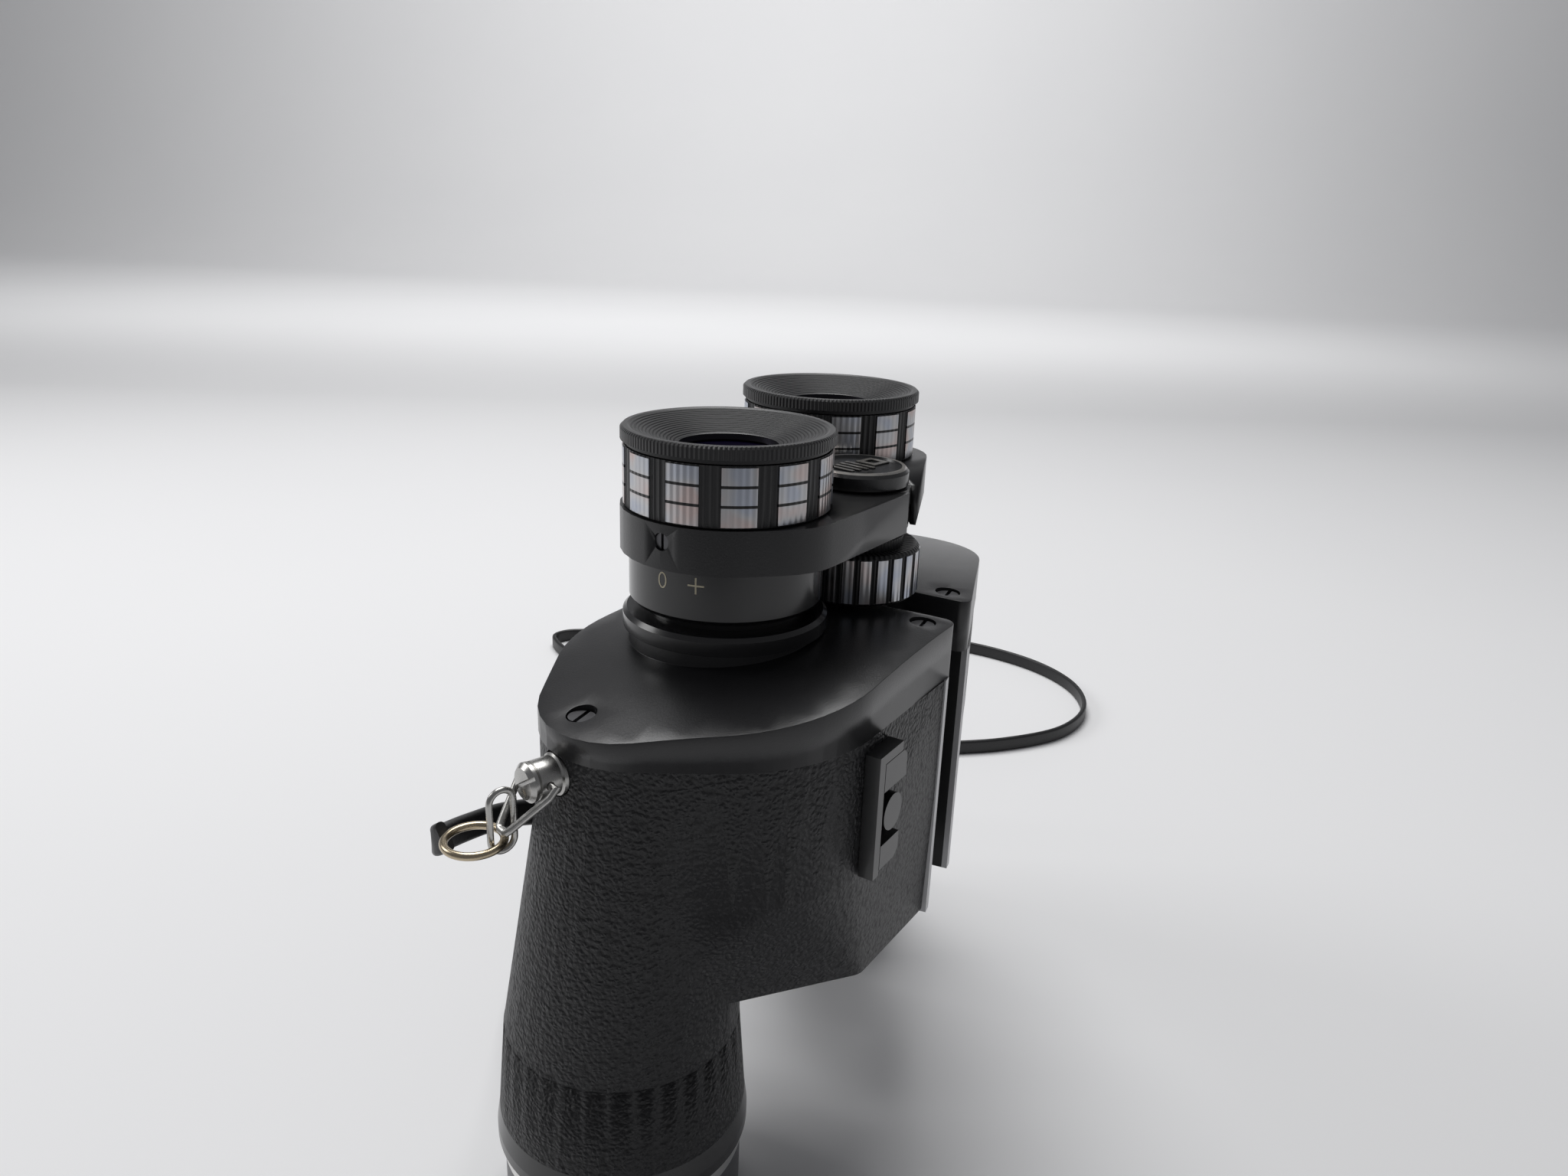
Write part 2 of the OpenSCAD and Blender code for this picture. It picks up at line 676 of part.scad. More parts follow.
module arm_screw(left) {
    color(STEEL) side(left) arm_screw_frame() difference() {
        translate([0, 0, eye_tube_r - collar_r + 0.1]) cylinder(r = 1.6, h = collar_r - eye_tube_r - 0.7);
        translate([-2, -0.3, -1.2]) cube([4, 0.6, 1]);
    }
}

module eyepiece_tube(left) {
    color(BLACK) side(left) at_eye() rotate_extrude() polygon([[eye_bore_r, guide_z], [guide_r, guide_z],
        [guide_r, tube_z], [eye_tube_r - 0.8, tube_z], [eye_tube_r, tube_z + 1], [eye_tube_r, zoom_z - 0.1],
        [neck_r, zoom_z - 0.1], [neck_r, neck_top], [eye_bore_r, neck_top]]);
}

module zoom_ring(left) {
    color(BLACK) side(left) at_eye(zoom_z) tube(zoom_r, neck_r + fit, zoom_h);
}

// Bright pads set round the zoom ring
module zoom_pads(left) {
    width = 18.5;
    color(SILVER) side(left) at_eye(zoom_z + 0.3) for (i = [0:pads - 1])
        rotate(i * 360 / pads - width / 2) rotate_extrude(angle = width) translate([zoom_r, 0]) square([0.25, zoom_h - 0.6]);
}

module eyecup(left) {
    dish = 3.6;
    color(BLACK) side(left) at_eye() rotate_extrude() polygon([[eye_hole_r, neck_top], [neck_r - 0.2, neck_top],
        [neck_r - 0.2, zoom_z + zoom_h + 0.2], [zoom_r - 0.3, zoom_z + zoom_h + 0.2], [zoom_r - 0.3, eyecup_z],
        [eyecup_r, eyecup_z], [eyecup_r, eyecup_top - 0.5], [eyecup_r - 0.5, eyecup_top], [eyecup_r - 1.4, eyecup_top],
        [eye_hole_r, eyecup_top - dish]]);
}

// A mounted lens that fits the bore of the eyepiece tube
module mounted_lens(z, h) {
    at_eye(z) {
        cylinder(r = eye_bore_r - fit, h = h);
    }
}

module eye_lens(left) {
    color(GLASS) side(left) mounted_lens(neck_top - 5, 4.7);
}

module zoom_cell_front(left) {
    color(GLASS) side(left) mounted_lens(joint_z + 6, 5);
}

module zoom_cell_rear(left) {
    color(GLASS) side(left) mounted_lens(neck_top - 17, 4);
}

// Route of the strap, from the right strap ring round behind the barrels to the left one
route = [[-84.6, 32.9, 97], [-83.5, 35.5, 95], [-79, 38.5, 92], [-70, 40, 89], [-59, 39.5, 86], [-47, 38.5, 81], [-34, 40, 72],
    [-25, 47, 58], [-20, 56, 36], [-15, 66, 16], [-2, 75, 5], [18, 82, 2.8], [50, 92, 2.8], [85, 103, 2.8],
    [120, 118, 2.8], [155, 141, 2.8], [183, 168, 2.8], [193, 183, 2.8], [200, 193, 2.8], [207, 199, 2.8],
    [214, 197, 2.8], [219, 190, 2.8], [228, 172, 2.8], [243, 145, 2.8], [258, 115, 2.8], [272, 80, 2.8],
    [283, 45, 2.8], [289, 16, 2.8], [281, -16, 2.8], [263, -38, 2.8], [238, -47, 2.8], [212, -41, 2.8],
    [190, -21, 2.8], [172, 6, 2.8], [152, 32, 2.8], [131, 50, 2.8], [113, 57, 6], [101, 57, 22], [93, 53, 50],
    [88, 47, 73], [85.5, 40, 87], [84.6, 35.5, 94], [84.6, 32.9, 97]];
steps = 2;
// How many pieces of the path move with each bail
strap_ends = 10;

// A point of the smooth curve through four points of the route
function curve(a, b, c, d, t) = 0.5 * (2 * b + (c - a) * t + (2 * a - 5 * b + 4 * c - d) * t * t
    + (3 * b - a - 3 * c + d) * t * t * t);
function route_point(i) = route[max(0, min(len(route) - 1, i))];
path = [for (i = [0:len(route) - 2]) for (k = [0:steps - 1])
    curve(route_point(i - 1), route_point(i), route_point(i + 1), route_point(i + 2), k / steps), route[len(route) - 1]];
function unit(v) = v / norm(v);
function heading(i) = unit(path[min(i + 1, len(path) - 1)] - path[max(i - 1, 0)]);

// The strap from one of its rings of points to another, as a round cord with eight sides
module strap_part(first, last) {
    sides = 8;
    r = strap_w / 2;
    n = last - first + 1;
    points = [for (i = [first:last]) let (t = heading(i), u = unit(cross([0, 0, 1], t)), w = cross(t, u))
        for (k = [0:sides - 1]) path[i] + r * (cos(k * 360 / sides + 22.5) * u + sin(k * 360 / sides + 22.5) * w)];
    skin = [for (i = [0:n - 2]) for (k = [0:sides - 1]) let (a = i * sides + k, b = i * sides + (k + 1) % sides)
        each [[a, a + sides, b], [b, a + sides, b + sides]]];
    ends = [[for (k = [0:sides - 1]) k], [for (k = [sides - 1:-1:0]) (n - 1) * sides + k]];
    color(BLACK) polyhedron(points, concat(skin, ends));
}

body(false);  // body_r
covering(false);  // covering_r
prism_cover(false);  // prism_cover_r
cover_screws(false);  // cover_screws_r
guide_flange(false);  // guide_flange_r
prism_shelf(false);  // prism_shelf_r
prisms(false);  // prisms_r
objective_cell(false);  // objective_cell_r
objective_lens(false);  // objective_lens_r
rim(false);  // rim_r
trim_ring(false);  // trim_ring_r
front_ring(false);  // front_ring_r
strap_lug(false);  // strap_lug_r
badge();  // badge_r
bridge_arm(false);  // bridge_arm_r
arm_screw(false);  // arm_screw_r
eyepiece_tube(false);  // eyepiece_tube_r
zoom_ring(false);  // zoom_ring_r
zoom_pads(false);  // zoom_pads_r
eyecup(false);  // eyecup_r
eye_lens(false);  // eye_lens_r
zoom_cell_front(false);  // zoom_cell_front_r
zoom_cell_rear(false);  // zoom_cell_rear_r
bail(false);  // bail_r
link(false);  // link_r
strap_ring(false);  // strap_ring_r
body(true);  // body_l
covering(true);  // covering_l
prism_cover(true);  // prism_cover_l
cover_screws(true);  // cover_screws_l
guide_flange(true);  // guide_flange_l
prism_shelf(true);  // prism_shelf_l
prisms(true);  // prisms_l
objective_cell(true);  // objective_cell_l
objective_lens(true);  // objective_lens_l
rim(true);  // rim_l
trim_ring(true);  // trim_ring_l
front_ring(true);  // front_ring_l
strap_lug(true);  // strap_lug_l
bridge_arm(true);  // bridge_arm_l
arm_screw(true);  // arm_screw_l
eyepiece_tube(true);  // eyepiece_tube_l
zoom_ring(true);  // zoom_ring_l
zoom_pads(true);  // zoom_pads_l
eyecup(true);  // eyecup_l
eye_lens(true);  // eye_lens_l
zoom_cell_front(true);  // zoom_cell_front_l
zoom_cell_rear(true);  // zoom_cell_rear_l
bail(true);  // bail_l
link(true);  // link_l
strap_ring(true);  // strap_ring_l
hinge_axle();
focus_wheel();
wheel_stripes();
focus_shaft();
centre_cap();
strap_part(0, strap_ends);  // strap_end_r
strap_part(strap_ends, len(path) - 1 - strap_ends);  // strap
strap_part(len(path) - 1 - strap_ends, len(path) - 1);  // strap_end_l
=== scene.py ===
import math

import bmesh
import bpy
from mathutils import Matrix, Vector


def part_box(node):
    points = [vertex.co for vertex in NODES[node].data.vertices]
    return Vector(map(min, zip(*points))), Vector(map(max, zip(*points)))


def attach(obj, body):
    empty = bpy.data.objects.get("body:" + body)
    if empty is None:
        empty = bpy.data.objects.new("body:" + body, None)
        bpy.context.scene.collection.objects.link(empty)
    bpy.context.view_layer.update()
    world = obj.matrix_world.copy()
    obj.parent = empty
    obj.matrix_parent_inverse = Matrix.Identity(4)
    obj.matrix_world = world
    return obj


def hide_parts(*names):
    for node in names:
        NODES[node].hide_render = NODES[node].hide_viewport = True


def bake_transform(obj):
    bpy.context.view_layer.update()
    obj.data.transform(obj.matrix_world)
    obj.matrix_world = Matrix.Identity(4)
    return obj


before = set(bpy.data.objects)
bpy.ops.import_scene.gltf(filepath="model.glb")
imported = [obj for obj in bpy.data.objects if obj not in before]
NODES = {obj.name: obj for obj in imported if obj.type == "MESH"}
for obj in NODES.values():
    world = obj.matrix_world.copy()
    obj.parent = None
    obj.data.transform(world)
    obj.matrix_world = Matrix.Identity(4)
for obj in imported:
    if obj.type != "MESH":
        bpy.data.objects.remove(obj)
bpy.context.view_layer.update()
MM = 0.001

# Places of the eyepieces' and the hinge's axes, read from the solids
eye_low, eye_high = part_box("zoom_ring_r")
EYE = (eye_low + eye_high) / 2
hinge_low, hinge_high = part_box("hinge_axle")
HINGE = (hinge_low + hinge_high) / 2
CENTRES = {"_r": (EYE.x, EYE.y), "_l": (-EYE.x, EYE.y), "": (HINGE.x, HINGE.y)}
BARRELS = {"_r": "right_barrel", "_l": "left_barrel"}


# Camera

CAMERA_AT = Vector((-0.2278, -0.0847, 0.2059))
# Angles in degrees: turn from +X, tilt below the level, and roll
CAMERA_TURN = math.degrees(math.atan2(0.358, 0.934))
CAMERA_PITCH = 18.77
CAMERA_ROLL = 2.24
# Lens and sensor width in millimetres
CAMERA_LENS = 26.0
SENSOR_WIDTH = 36


def set_camera():
    data = bpy.data.cameras.new("camera")
    data.lens = CAMERA_LENS
    data.sensor_width = SENSOR_WIDTH
    data.clip_start = 0.01
    camera = bpy.data.objects.new("camera", data)
    bpy.context.scene.collection.objects.link(camera)
    turn, pitch, roll = (math.radians(a) for a in (CAMERA_TURN, CAMERA_PITCH, CAMERA_ROLL))
    flat = Vector((math.cos(turn), math.sin(turn), 0))
    ahead = flat * math.cos(pitch) - Vector((0, 0, math.sin(pitch)))
    up = flat * math.sin(pitch) + Vector((0, 0, math.cos(pitch)))
    right = ahead.cross(up)
    side = right * math.cos(roll) + up * math.sin(roll)
    top = up * math.cos(roll) - right * math.sin(roll)
    turned = Matrix((side, top, -ahead)).transposed().to_4x4()
    camera.matrix_world = Matrix.Translation(CAMERA_AT) @ turned
    bpy.context.scene.camera = camera


set_camera()


# Strap

STRAP_WIDTH = 5.6 * MM
STRAP_THICK = 2.0 * MM
# How many stretches of the route go into the right and the left end piece
STRAP_ENDS = (5, 5)
STRAP_STEPS = 8
# Points of the strap's middle line in millimetres, from the right ring round behind to the left one
ROUTE = [
    [-84.6, 32.9, 97], [-83.5, 35.5, 95], [-79, 38.5, 92], [-70, 40, 89], [-59, 39.5, 86],
    [-47, 38.5, 81], [-34, 40, 72], [-25, 47, 58], [-20, 56, 36], [-15, 66, 16], [-2, 75, 5],
    [18, 82, 2.8], [50, 92, 2.8], [85, 103, 2.8], [120, 118, 2.8], [155, 141, 2.8],
    [183, 168, 2.8], [193, 183, 2.8], [200, 193, 2.8], [207, 199, 2.8], [214, 197, 2.8],
    [219, 190, 2.8], [228, 172, 2.8], [243, 145, 2.8], [258, 115, 2.8], [272, 80, 2.8],
    [283, 45, 2.8], [289, 16, 2.8], [281, -16, 2.8], [263, -38, 2.8], [238, -47, 2.8],
    [212, -41, 2.8], [190, -21, 2.8], [172, 6, 2.8], [152, 32, 2.8], [131, 50, 2.8], [113, 57, 6],
    [101, 57, 22], [93, 53, 50], [88, 47, 73], [85.5, 40, 87], [84.6, 35.5, 94], [84.6, 32.9, 97]
]


def route_point(i):
    return Vector(ROUTE[max(0, min(len(ROUTE) - 1, i))]) * MM


def strap_path(first, last, steps=STRAP_STEPS):
    """The smooth curve through the route's points, from one point of the route to another."""
    points = []
    for i in range(first, last):
        a, b, c, d = (route_point(i + k) for k in (-1, 0, 1, 2))
        for k in range(steps):
            t = k / steps
            points.append(0.5 * (2 * b + (c - a) * t + (2 * a - 5 * b + 4 * c - d) * t * t
                                 + (3 * b - a - 3 * c + d) * t ** 3))
    return points + [route_point(last)]


def link(obj):
    bpy.context.scene.collection.objects.link(obj)
    return obj


def make_piece(name, bm, smooth=40):
    """A finished piece from a bmesh, smooth except over edges sharper than the angle given."""
    mesh = bpy.data.meshes.new(name)
    bm.to_mesh(mesh)
    bm.free()
    for face in mesh.polygons:
        face.use_smooth = True
    mesh.set_sharp_from_angle(angle=math.radians(smooth))
    return link(bpy.data.objects.new(name, mesh))


def strap_piece(name, points):
    """A flat strap with round edges, swept along the points with its width kept upright."""
    bm = bmesh.new()
    half_w, half_t, corners = STRAP_WIDTH / 2, STRAP_THICK / 2, 5
    r = half_t * 0.9
    outline = []
    for sx, sy, start in ((1, 1, 0), (-1, 1, 90), (-1, -1, 180), (1, -1, 270)):
        for k in range(corners):
            a = math.radians(start + 90 * k / (corners - 1))
            corner_x, corner_y = sx * (half_t - r), sy * (half_w - r)
            outline.append(Vector((corner_x + r * math.cos(a), corner_y + r * math.sin(a))))
    uv = bm.loops.layers.uv.new("along")
    rings, travelled = [], [0.0]
    for i, p in enumerate(points):
        ahead = (points[min(i + 1, len(points) - 1)] - points[max(i - 1, 0)]).normalized()
        side = Vector((0, 0, 1)).cross(ahead).normalized()
        up = ahead.cross(side)
        rings.append([bm.verts.new(p + side * c.x + up * c.y) for c in outline])
        if i:
            travelled.append(travelled[-1] + (p - points[i - 1]).length)
    n = len(outline)
    for i in range(len(rings) - 1):
        for k in range(n):
            beside = (k + 1) % n
            face = bm.faces.new((rings[i][k], rings[i][beside], rings[i + 1][beside], rings[i + 1][k]))
            for loop, (row, col) in zip(face.loops, ((i, k), (i, k + 1), (i + 1, k + 1), (i + 1, k))):
                loop[uv].uv = (travelled[row] * 100, col / n)
    bm.faces.new(rings[0])
    bm.faces.new(rings[-1])
    bmesh.ops.recalc_face_normals(bm, faces=bm.faces)
    return make_piece(name, bm, 60)


def make_strap():
    """The strap in three lengths: an end piece at each ring and the run between them."""
    last = len(ROUTE) - 1
    near = strap_path(0, STRAP_ENDS[0])
    run = strap_path(STRAP_ENDS[0], last - STRAP_ENDS[1])
    far = strap_path(last - STRAP_ENDS[1], last)
    pieces = {}
    for name, points, node in (("strap_near", near, "strap_end_r"), ("strap_run", run, "strap"),
                               ("strap_far", far, "strap_end_l")):
        pieces[name] = strap_piece(name, points)
        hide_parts(node)
    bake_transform(pieces["strap_near"])
    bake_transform(pieces["strap_run"])
    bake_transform(pieces["strap_far"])
    return pieces


STRAP = make_strap()


# Shader effects

def new_group(name, inputs, outputs):
    """An empty shader group with named inputs and outputs, and its two end nodes."""
    tree = bpy.data.node_groups.new(name, "ShaderNodeTree")
    for label, value in inputs.items():
        kind = "NodeSocketVector" if isinstance(value, tuple) else "NodeSocketFloat"
        socket = tree.interface.new_socket(name=label, in_out="INPUT", socket_type=kind)
        socket.default_value = value
    for label in outputs:
        tree.interface.new_socket(name=label, in_out="OUTPUT", socket_type="NodeSocketFloat")
    return tree, tree.nodes.new("NodeGroupInput"), tree.nodes.new("NodeGroupOutput")


def maths(tree, operation, a, b=None, c=None, clamp=False):
    """A Math node whose inputs are numbers or other nodes' outputs."""
    node = tree.nodes.new("ShaderNodeMath")
    node.operation = operation
    node.use_clamp = clamp
    for socket, value in zip(node.inputs, (a, b, c)):
        if value is None:
            continue
        if isinstance(value, (int, float)):
            socket.default_value = value
        else:
            tree.links.new(value, socket)
    return node.outputs[0]


def polar(tree, centre_x, centre_y):
    """Radius and angle round an upright axis, and the height, from Object coordinates."""
    place = tree.nodes.new("ShaderNodeTexCoord").outputs["Object"]
    split = tree.nodes.new("ShaderNodeSeparateXYZ")
    tree.links.new(place, split.inputs[0])
    x = maths(tree, "SUBTRACT", split.outputs[0], centre_x)
    y = maths(tree, "SUBTRACT", split.outputs[1], centre_y)
    squares = maths(tree, "ADD", maths(tree, "MULTIPLY", x, x), maths(tree, "MULTIPLY", y, y))
    radius = maths(tree, "SQRT", squares)
    return radius, maths(tree, "ARCTAN2", y, x), split.outputs[2]


def axes(tree):
    """The three Object coordinates, as numbers."""
    split = tree.nodes.new("ShaderNodeSeparateXYZ")
    tree.links.new(tree.nodes.new("ShaderNodeTexCoord").outputs["Object"], split.inputs[0])
    return split.outputs


def noise(tree, scale, detail=3.0, roughness=0.5, stretch=None):
    node = tree.nodes.new("ShaderNodeTexNoise")
    node.inputs["Detail"].default_value = detail
    node.inputs["Roughness"].default_value = roughness
    if isinstance(scale, (int, float)):
        node.inputs["Scale"].default_value = scale
    else:
        tree.links.new(scale, node.inputs["Scale"])
    place = tree.nodes.new("ShaderNodeTexCoord").outputs["Object"]
    if stretch:
        mapping = tree.nodes.new("ShaderNodeMapping")
        mapping.inputs["Scale"].default_value = stretch
        tree.links.new(place, mapping.inputs["Vector"])
        place = mapping.outputs[0]
    tree.links.new(place, node.inputs["Vector"])
    return node.outputs["Fac"]


def grain_group():
    """Fine paint grain, with slow changes in tone."""
    tree, into, out = new_group("paint_grain", {"Grain per metre": 2600.0}, ["Height", "Tone"])
    fine = noise(tree, into.outputs[0], 4, 0.6)
    slow = noise(tree, 55, 3, 0.6)
    tree.links.new(fine, out.inputs["Height"])
    tree.links.new(slow, out.inputs["Tone"])
    return tree


def pebble_group():
    """Leather-like pebbles: small uneven domes with creases between them."""
    tree, into, out = new_group("pebbles", {"Pebbles per metre": 1100.0}, ["Height", "Crease"])
    place = tree.nodes.new("ShaderNodeTexCoord").outputs["Object"]
    wobble = tree.nodes.new("ShaderNodeTexNoise")
    wobble.inputs["Scale"].default_value = 420
    wobble.inputs["Detail"].default_value = 2
    tree.links.new(place, wobble.inputs["Vector"])
    push = tree.nodes.new("ShaderNodeVectorMath")
    push.operation = "MULTIPLY_ADD"
    push.inputs[1].default_value = (0.0016, 0.0016, 0.0016)
    tree.links.new(wobble.outputs["Color"], push.inputs[0])
    tree.links.new(place, push.inputs[2])
    cells = tree.nodes.new("ShaderNodeTexVoronoi")
    cells.feature = "SMOOTH_F1"
    cells.inputs["Smoothness"].default_value = 0.4
    tree.links.new(push.outputs[0], cells.inputs["Vector"])
    tree.links.new(into.outputs[0], cells.inputs["Scale"])
    dome = maths(tree, "SUBTRACT", 1.0, cells.outputs["Distance"])
    fine = noise(tree, 3800, 2)
    height = maths(tree, "ADD", dome, maths(tree, "MULTIPLY", fine, 0.25))
    tree.links.new(height, out.inputs["Height"])
    crease = maths(tree, "POWER", cells.outputs["Distance"], 2.0, clamp=True)
    tree.links.new(crease, out.inputs["Crease"])
    return tree


def rib_group():
    """Upright ribs all round an axis, and rings cut round it, each at its own pitch."""
    inputs = {"Centre X": 0.0, "Centre Y": 0.0, "Ribs": 120.0, "Rings per metre": 1500.0}
    tree, into, out = new_group("turned_work", inputs, ["Ribs", "Rings", "Radius", "Z"])
    radius, angle, z = polar(tree, into.outputs["Centre X"], into.outputs["Centre Y"])
    wave = maths(tree, "SINE", maths(tree, "MULTIPLY", angle, into.outputs["Ribs"]))
    tree.links.new(maths(tree, "MULTIPLY_ADD", wave, 0.5, 0.5), out.inputs["Ribs"])
    turns = maths(tree, "MULTIPLY", radius, into.outputs["Rings per metre"])
    ring = maths(tree, "SINE", maths(tree, "MULTIPLY", turns, 2 * math.pi))
    tree.links.new(maths(tree, "MULTIPLY_ADD", ring, 0.5, 0.5), out.inputs["Rings"])
    tree.links.new(radius, out.inputs["Radius"])
    tree.links.new(z, out.inputs["Z"])
    return tree


GRAIN = grain_group()
PEBBLES = pebble_group()
TURNED = rib_group()


# Materials

class Finish:
    """A node material around one Principled shader."""

    def __init__(self, name, color, roughness, metallic=0.0, specular=0.5, coat=0.0, coat_roughness=0.1):
        self.material = bpy.data.materials.new(name)
        self.material.use_nodes = True
        self.tree = self.material.node_tree
        self.shader = self.tree.nodes["Principled BSDF"]
        self.set("Base Color", (*color, 1))
        self.set("Roughness", roughness)
        self.set("Metallic", metallic)
        self.set("Specular IOR Level", specular)
        self.set("Coat Weight", coat)
        self.set("Coat Roughness", coat_roughness)

    def set(self, socket, value):
        self.shader.inputs[socket].default_value = value

    def group(self, tree, **values):
        node = self.tree.nodes.new("ShaderNodeGroup")
        node.node_tree = tree
        for label, value in values.items():
            node.inputs[label.replace("_", " ")].default_value = value
        return node.outputs

    def bump(self, height, depth, strength=1.0, after=None):
        """Bumps the surface by a height of 0 to 1 that stands for this depth in metres."""
        node = self.tree.nodes.new("ShaderNodeBump")
        node.inputs["Strength"].default_value = strength
        node.inputs["Distance"].default_value = depth
        self.tree.links.new(height, node.inputs["Height"])
        if after:
            self.tree.links.new(after, node.inputs["Normal"])
        self.tree.links.new(node.outputs[0], self.shader.inputs["Normal"])
        return node.outputs[0]

    def vary(self, socket, factor, low, high):
        """Runs a socket between two values or colours with a factor of 0 to 1."""
        if isinstance(low, tuple):
            node = self.tree.nodes.new("ShaderNodeMix")
            node.data_type = "RGBA"
            node.inputs["A"].default_value = (*low, 1)
            node.inputs["B"].default_value = (*high, 1)
            self.tree.links.new(factor, node.inputs["Factor"])
            self.tree.links.new(node.outputs["Result"], self.shader.inputs[socket])
            return
        node = self.tree.nodes.new("ShaderNodeMapRange")
        node.inputs["To Min"].default_value = low
        node.inputs["To Max"].default_value = high
        self.tree.links.new(factor, node.inputs["Value"])
        self.tree.links.new(node.outputs["Result"], self.shader.inputs[socket])


def mask_between(tree, value, low, high, soft=0.00005):
    """1 where the value lies between two limits."""
    rise = maths(tree, "DIVIDE", maths(tree, "SUBTRACT", value, low), soft, clamp=True)
    fall = maths(tree, "DIVIDE", maths(tree, "SUBTRACT", high, value), soft, clamp=True)
    return maths(tree, "MULTIPLY", rise, fall)


def paint_finish():
    """Satin black enamel over cast metal, a little uneven."""
    f = Finish("cover_enamel", (0.011, 0.011, 0.012), 0.3, specular=0.45, coat=0.12, coat_roughness=0.18)
    grain = f.group(GRAIN)
    f.bump(grain["Height"], 0.00006, 0.5)
    f.vary("Roughness", grain["Tone"], 0.26, 0.36)
    f.vary("Base Color", grain["Tone"], (0.009, 0.009, 0.01), (0.014, 0.014, 0.0155))
    return f.material


def housing_finish(side):
    """Black enamel of the housing's bare places, with a painted highlight on its front corner rail:
    light metal colour that stands for the reflection of the white surroundings.
    """
    f = Finish("housing_enamel" + side, (0.012, 0.012, 0.013), 0.36, specular=0.45)
    grain = f.group(GRAIN, Grain_per_metre=1800.0)
    f.bump(grain["Height"], 0.00005, 0.4)
    low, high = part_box("body" + side)
    _, y, z = axes(f.tree)
    front = mask_between(f.tree, y, low.y - 0.001, low.y + 0.0013)
    up = mask_between(f.tree, z, RAIL_HIGHLIGHT_FOOT, high.z + 0.001)
    # Painted highlight: the front corner rail is coloured light metal in place of a reflection
    rail = maths(f.tree, "MULTIPLY", front, up)
    f.vary("Base Color", rail, (0.012, 0.012, 0.013), (0.5, 0.5, 0.51))
    f.vary("Metallic", rail, 0.0, 0.6)
    f.vary("Roughness", rail, 0.36, 0.42)
    return f.material


def satin_finish(name, roughness=0.2):
    """Anodised black of the turned tubes and rims."""
    f = Finish(name, (0.01, 0.01, 0.011), roughness, specular=0.5, coat=0.3, coat_roughness=0.12)
    grain = f.group(GRAIN, Grain_per_metre=900.0)
    f.vary("Roughness", grain["Tone"], roughness - 0.05, roughness + 0.1)
    f.bump(grain["Height"], 0.00001, 0.3)
    return f.material


def leatherette_finish():
    f = Finish("leatherette", (0.012, 0.012, 0.013), 0.42, specular=0.36)
    pebbles = f.group(PEBBLES)
    f.bump(pebbles["Height"], 0.00042, 0.9)
    f.vary("Roughness", pebbles["Crease"], 0.36, 0.6)
    # Painted shade: the creases between the pebbles are coloured darker
    f.vary("Base Color", pebbles["Crease"], (0.013, 0.013, 0.0145), (0.005, 0.005, 0.0055))
    return f.material


def ribbed_finish(name, side, ribs, depth=0.00025):
    """Black plastic with fine upright ribs round its own axis."""
    f = Finish(name, (0.014, 0.014, 0.015), 0.36, specular=0.5)
    x, y = CENTRES[side]
    turned = f.group(TURNED, Centre_X=x, Centre_Y=y, Ribs=ribs)
    f.bump(turned["Ribs"], depth, 0.9)
    f.vary("Roughness", turned["Ribs"], 0.55, 0.3)
    return f.material


# Radii between which the eyecup has its ribs, and its turned rings
EYECUP_EDGE = (0.02055, 0.03)
EYECUP_DISH = (0.0101, 0.0192)


def eyecup_finish(name, side):
    """Black eyecup: rings turned in its dish, and fine ribs round its edge."""
    f = Finish(name, (0.015, 0.015, 0.016), 0.4, specular=0.5)
    x, y = CENTRES[side]
    turned = f.group(TURNED, Centre_X=x, Centre_Y=y, Ribs=150.0, Rings_per_metre=1500.0)
    edge = mask_between(f.tree, turned["Radius"], *EYECUP_EDGE)
    dish = mask_between(f.tree, turned["Radius"], *EYECUP_DISH)
    ribs = maths(f.tree, "MULTIPLY", turned["Ribs"], edge)
    rings = maths(f.tree, "MULTIPLY", turned["Rings"], dish)
    f.bump(maths(f.tree, "ADD", ribs, rings), 0.00022, 0.9)
    f.vary("Roughness", rings, 0.36, 0.5)
    return f.material


def bright_finish(name, side, ribs, lines=()):
    """Bright pads with upright ribs and painted reflections in faint blue and pink tints, cut by dark
    lines at these heights.
    """
    f = Finish(name, (0.6, 0.6, 0.62), 0.3, metallic=1.0)
    x, y = CENTRES[side]
    turned = f.group(TURNED, Centre_X=x, Centre_Y=y, Ribs=ribs)
    brush = noise(f.tree, 400, 4, 0.7, stretch=(1, 1, 0.05))
    f.bump(maths(f.tree, "ADD", turned["Ribs"], maths(f.tree, "MULTIPLY", brush, 0.4)), 0.0001, 0.8)
    f.vary("Roughness", brush, 0.24, 0.4)
    # Painted reflections: noise runs the silver colour towards faint blue and pink tints
    ramp = f.tree.nodes.new("ShaderNodeValToRGB")
    stops = ramp.color_ramp.elements
    stops[0].position, stops[0].color = 0.34, (0.46, 0.49, 0.56, 1)
    stops[1].position, stops[1].color = 0.68, (0.6, 0.5, 0.48, 1)
    stops.new(0.5).color = (0.56, 0.56, 0.57, 1)
    f.tree.links.new(noise(f.tree, 160, 1), ramp.inputs["Fac"])
    cut = 0.0
    for z in lines:
        here = mask_between(f.tree, turned["Z"], z - PAD_LINE_HALF, z + PAD_LINE_HALF)
        cut = here if cut == 0.0 else maths(f.tree, "ADD", cut, here, clamp=True)
    node = f.tree.nodes.new("ShaderNodeMix")
    node.data_type = "RGBA"
    node.inputs["B"].default_value = (0.01, 0.01, 0.01, 1)
    node.inputs["Factor"].default_value = 0.0
    f.tree.links.new(ramp.outputs["Color"], node.inputs["A"])
    if lines:
        f.tree.links.new(cut, node.inputs["Factor"])
        f.vary("Metallic", cut, 1.0, 0.0)
    f.tree.links.new(node.outputs["Result"], f.shader.inputs["Base Color"])
    return f.material


